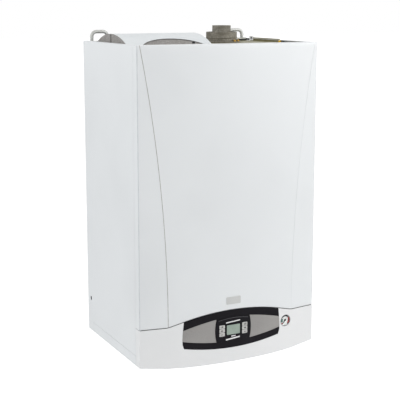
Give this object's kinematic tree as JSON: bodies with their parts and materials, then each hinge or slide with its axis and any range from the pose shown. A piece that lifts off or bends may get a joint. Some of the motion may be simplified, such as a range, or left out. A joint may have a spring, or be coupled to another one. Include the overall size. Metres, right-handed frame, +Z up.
{
  "type": "combi boiler",
  "caption": "Wall-hung combi boiler with a storage tank: white steel case with a bowed, creased front, tilting control panel, sealed burner chamber, fan and top flue.",
  "frame": {"origin": "on the wall, on the centre line, at the height of the hanging rail inside the rear frame", "axes": "+X to the right seen from the room, +Y into the wall, +Z up"},
  "size_m": [0.6, 0.4679, 1.026],
  "materials": {
    "enamel": "satin white enamel on sheet steel",
    "galvanised": "galvanised sheet",
    "zinc_passivated": "zinc passivated sheet, slightly olive",
    "steel": "plain steel",
    "fascia_plastic": "fine-grained moulded plastic, off-white",
    "black_gloss": "gloss black moulding",
    "wing_silver": "warm silver lacquer with a fine grain",
    "box_plastic": "light grey plastic",
    "board": "green circuit board",
    "display": "grey-green liquid crystal display",
    "key_silver": "silver-white keys",
    "gauge_ring": "dark grey plastic",
    "gauge_face": "white printed dial",
    "gauge_black": "black needle",
    "clear": "clear lens",
    "sight_glass": "heat-resistant glass",
    "foam": "grey speckled insulating foam",
    "cover_plastic": "white moulded plastic",
    "fibre": "ceramic fibre board",
    "burner_steel": "stainless steel",
    "copper": "copper, coppery red",
    "brass": "brass",
    "cast": "rough cast aluminium, speckled",
    "motor": "dark grey paint",
    "valve_body": "die-cast aluminium",
    "vessel_red": "red paint",
    "cast_iron": "dark cast iron",
    "impeller": "natural plastic",
    "motor_black": "black plastic",
    "knob_red": "red plastic",
    "knob_black": "black plastic"
  },
  "bodies": {
    "boiler": {"rear_frame": "galvanised", "hanging_loop_left": "galvanised", "hanging_loop_right": "galvanised", "side_panel_left": "enamel", "side_panel_right": "enamel", "bottom_tray": "enamel", "front_rail": "galvanised", "tank": "steel", "tank_jacket_front": "foam", "tank_jacket_rear": "foam", "tank_cover": "cover_plastic", "air_box": "zinc_passivated", "air_box_cover": "zinc_passivated", "sight_glass": "sight_glass", "combustion_chamber": "fibre", "burner": "burner_steel", "gas_manifold": "steel", "heat_exchanger": "copper", "flue_hood": "galvanised", "fan_housing": "galvanised", "fan_motor": "motor", "flue_collar": "cast", "flue_spigot": "cast", "gas_valve": "valve_body", "expansion_vessel": "vessel_red", "pump_body": "cast_iron", "pump_motor": "motor_black", "diverter_valve": "brass", "safety_valve": "brass", "pipe_hot": "copper", "pipe_cold": "copper", "pipe_gas": "steel", "pipe_flow": "copper", "pipe_return": "copper", "riser_flow": "copper", "riser_return": "copper"},
    "front_door": {"front_panel": "enamel"},
    "control_panel": {"fascia": "fascia_plastic", "trim_panel": "black_gloss", "wing_left": "wing_silver", "wing_right": "wing_silver", "control_box": "box_plastic", "main_board": "board", "gauge_case": "gauge_ring", "gauge_dial": "gauge_face", "gauge_lens": "clear"},
    "controller": {"controller_body": "black_gloss", "lcd_panel": "display"},
    "key_left_1_body": {"key_left_1": "key_silver"},
    "key_left_2_body": {"key_left_2": "key_silver"},
    "key_left_3_body": {"key_left_3": "key_silver"},
    "key_right_1_body": {"key_right_1": "key_silver"},
    "key_right_2_body": {"key_right_2": "key_silver"},
    "key_right_3_body": {"key_right_3": "key_silver"},
    "gauge_needle_body": {"gauge_needle": "gauge_black"},
    "fan_wheel_body": {"fan_wheel": "steel"},
    "pump_rotor_body": {"pump_rotor": "impeller"},
    "diverter_stem_body": {"diverter_stem": "steel"},
    "safety_knob_body": {"safety_valve_knob": "knob_red"},
    "filling_tap_body": {"filling_tap": "knob_black"}
  },
  "joints": [
    {"name": "front_panel_tilt", "type": "hinge", "parent": "boiler", "child": "front_door", "pos_m": [0, -0.4128, 0.0344], "axis": [-1, 0, 0], "range_deg": [0, 35]},
    {"name": "control_panel_tilt", "type": "hinge", "parent": "boiler", "child": "control_panel", "pos_m": [0, -0.406, -0.916], "axis": [1, 0, 0], "range_deg": [0, 75]},
    {"name": "controller_pull", "type": "slide", "parent": "control_panel", "child": "controller", "axis": [0, -1, 0], "range_m": [0, 0.03]},
    {"name": "key_left_1_press", "type": "slide", "parent": "controller", "child": "key_left_1_body", "axis": [0, 1, 0], "range_m": [0, 0.001], "stiffness_N_per_m": 200},
    {"name": "key_left_2_press", "type": "slide", "parent": "controller", "child": "key_left_2_body", "axis": [0, 1, 0], "range_m": [0, 0.001], "stiffness_N_per_m": 200},
    {"name": "key_left_3_press", "type": "slide", "parent": "controller", "child": "key_left_3_body", "axis": [0, 1, 0], "range_m": [0, 0.001], "stiffness_N_per_m": 200},
    {"name": "key_right_1_press", "type": "slide", "parent": "controller", "child": "key_right_1_body", "axis": [0, 1, 0], "range_m": [0, 0.001], "stiffness_N_per_m": 200},
    {"name": "key_right_2_press", "type": "slide", "parent": "controller", "child": "key_right_2_body", "axis": [0, 1, 0], "range_m": [0, 0.001], "stiffness_N_per_m": 200},
    {"name": "key_right_3_press", "type": "slide", "parent": "controller", "child": "key_right_3_body", "axis": [0, 1, 0], "range_m": [0, 0.001], "stiffness_N_per_m": 200},
    {"name": "gauge_needle_turn", "type": "hinge", "parent": "control_panel", "child": "gauge_needle_body", "pos_m": [0.1915, -0.45576, -0.831], "axis": [-0.1064, 0.9943, 0], "range_deg": [0, 270]},
    {"name": "fan_spin", "type": "hinge", "parent": "boiler", "child": "fan_wheel_body", "pos_m": [0.173, -0.136, -0.077], "axis": [0, 1, 0], "continuous": true},
    {"name": "pump_spin", "type": "hinge", "parent": "boiler", "child": "pump_rotor_body", "pos_m": [0.145, -0.118, -0.795], "axis": [0, 1, 0], "continuous": true},
    {"name": "diverter_shift", "type": "slide", "parent": "boiler", "child": "diverter_stem_body", "axis": [0, 1, 0], "range_m": [0, 0.006]},
    {"name": "safety_knob_turn", "type": "hinge", "parent": "boiler", "child": "safety_knob_body", "pos_m": [0.213, -0.118, -0.767], "axis": [0, 0, 1], "range_deg": [0, 90]},
    {"name": "filling_tap_turn", "type": "hinge", "parent": "boiler", "child": "filling_tap_body", "pos_m": [-0.065, -0.158, -0.87], "axis": [0, 1, 0], "range_deg": [0, 90]}
  ]
}
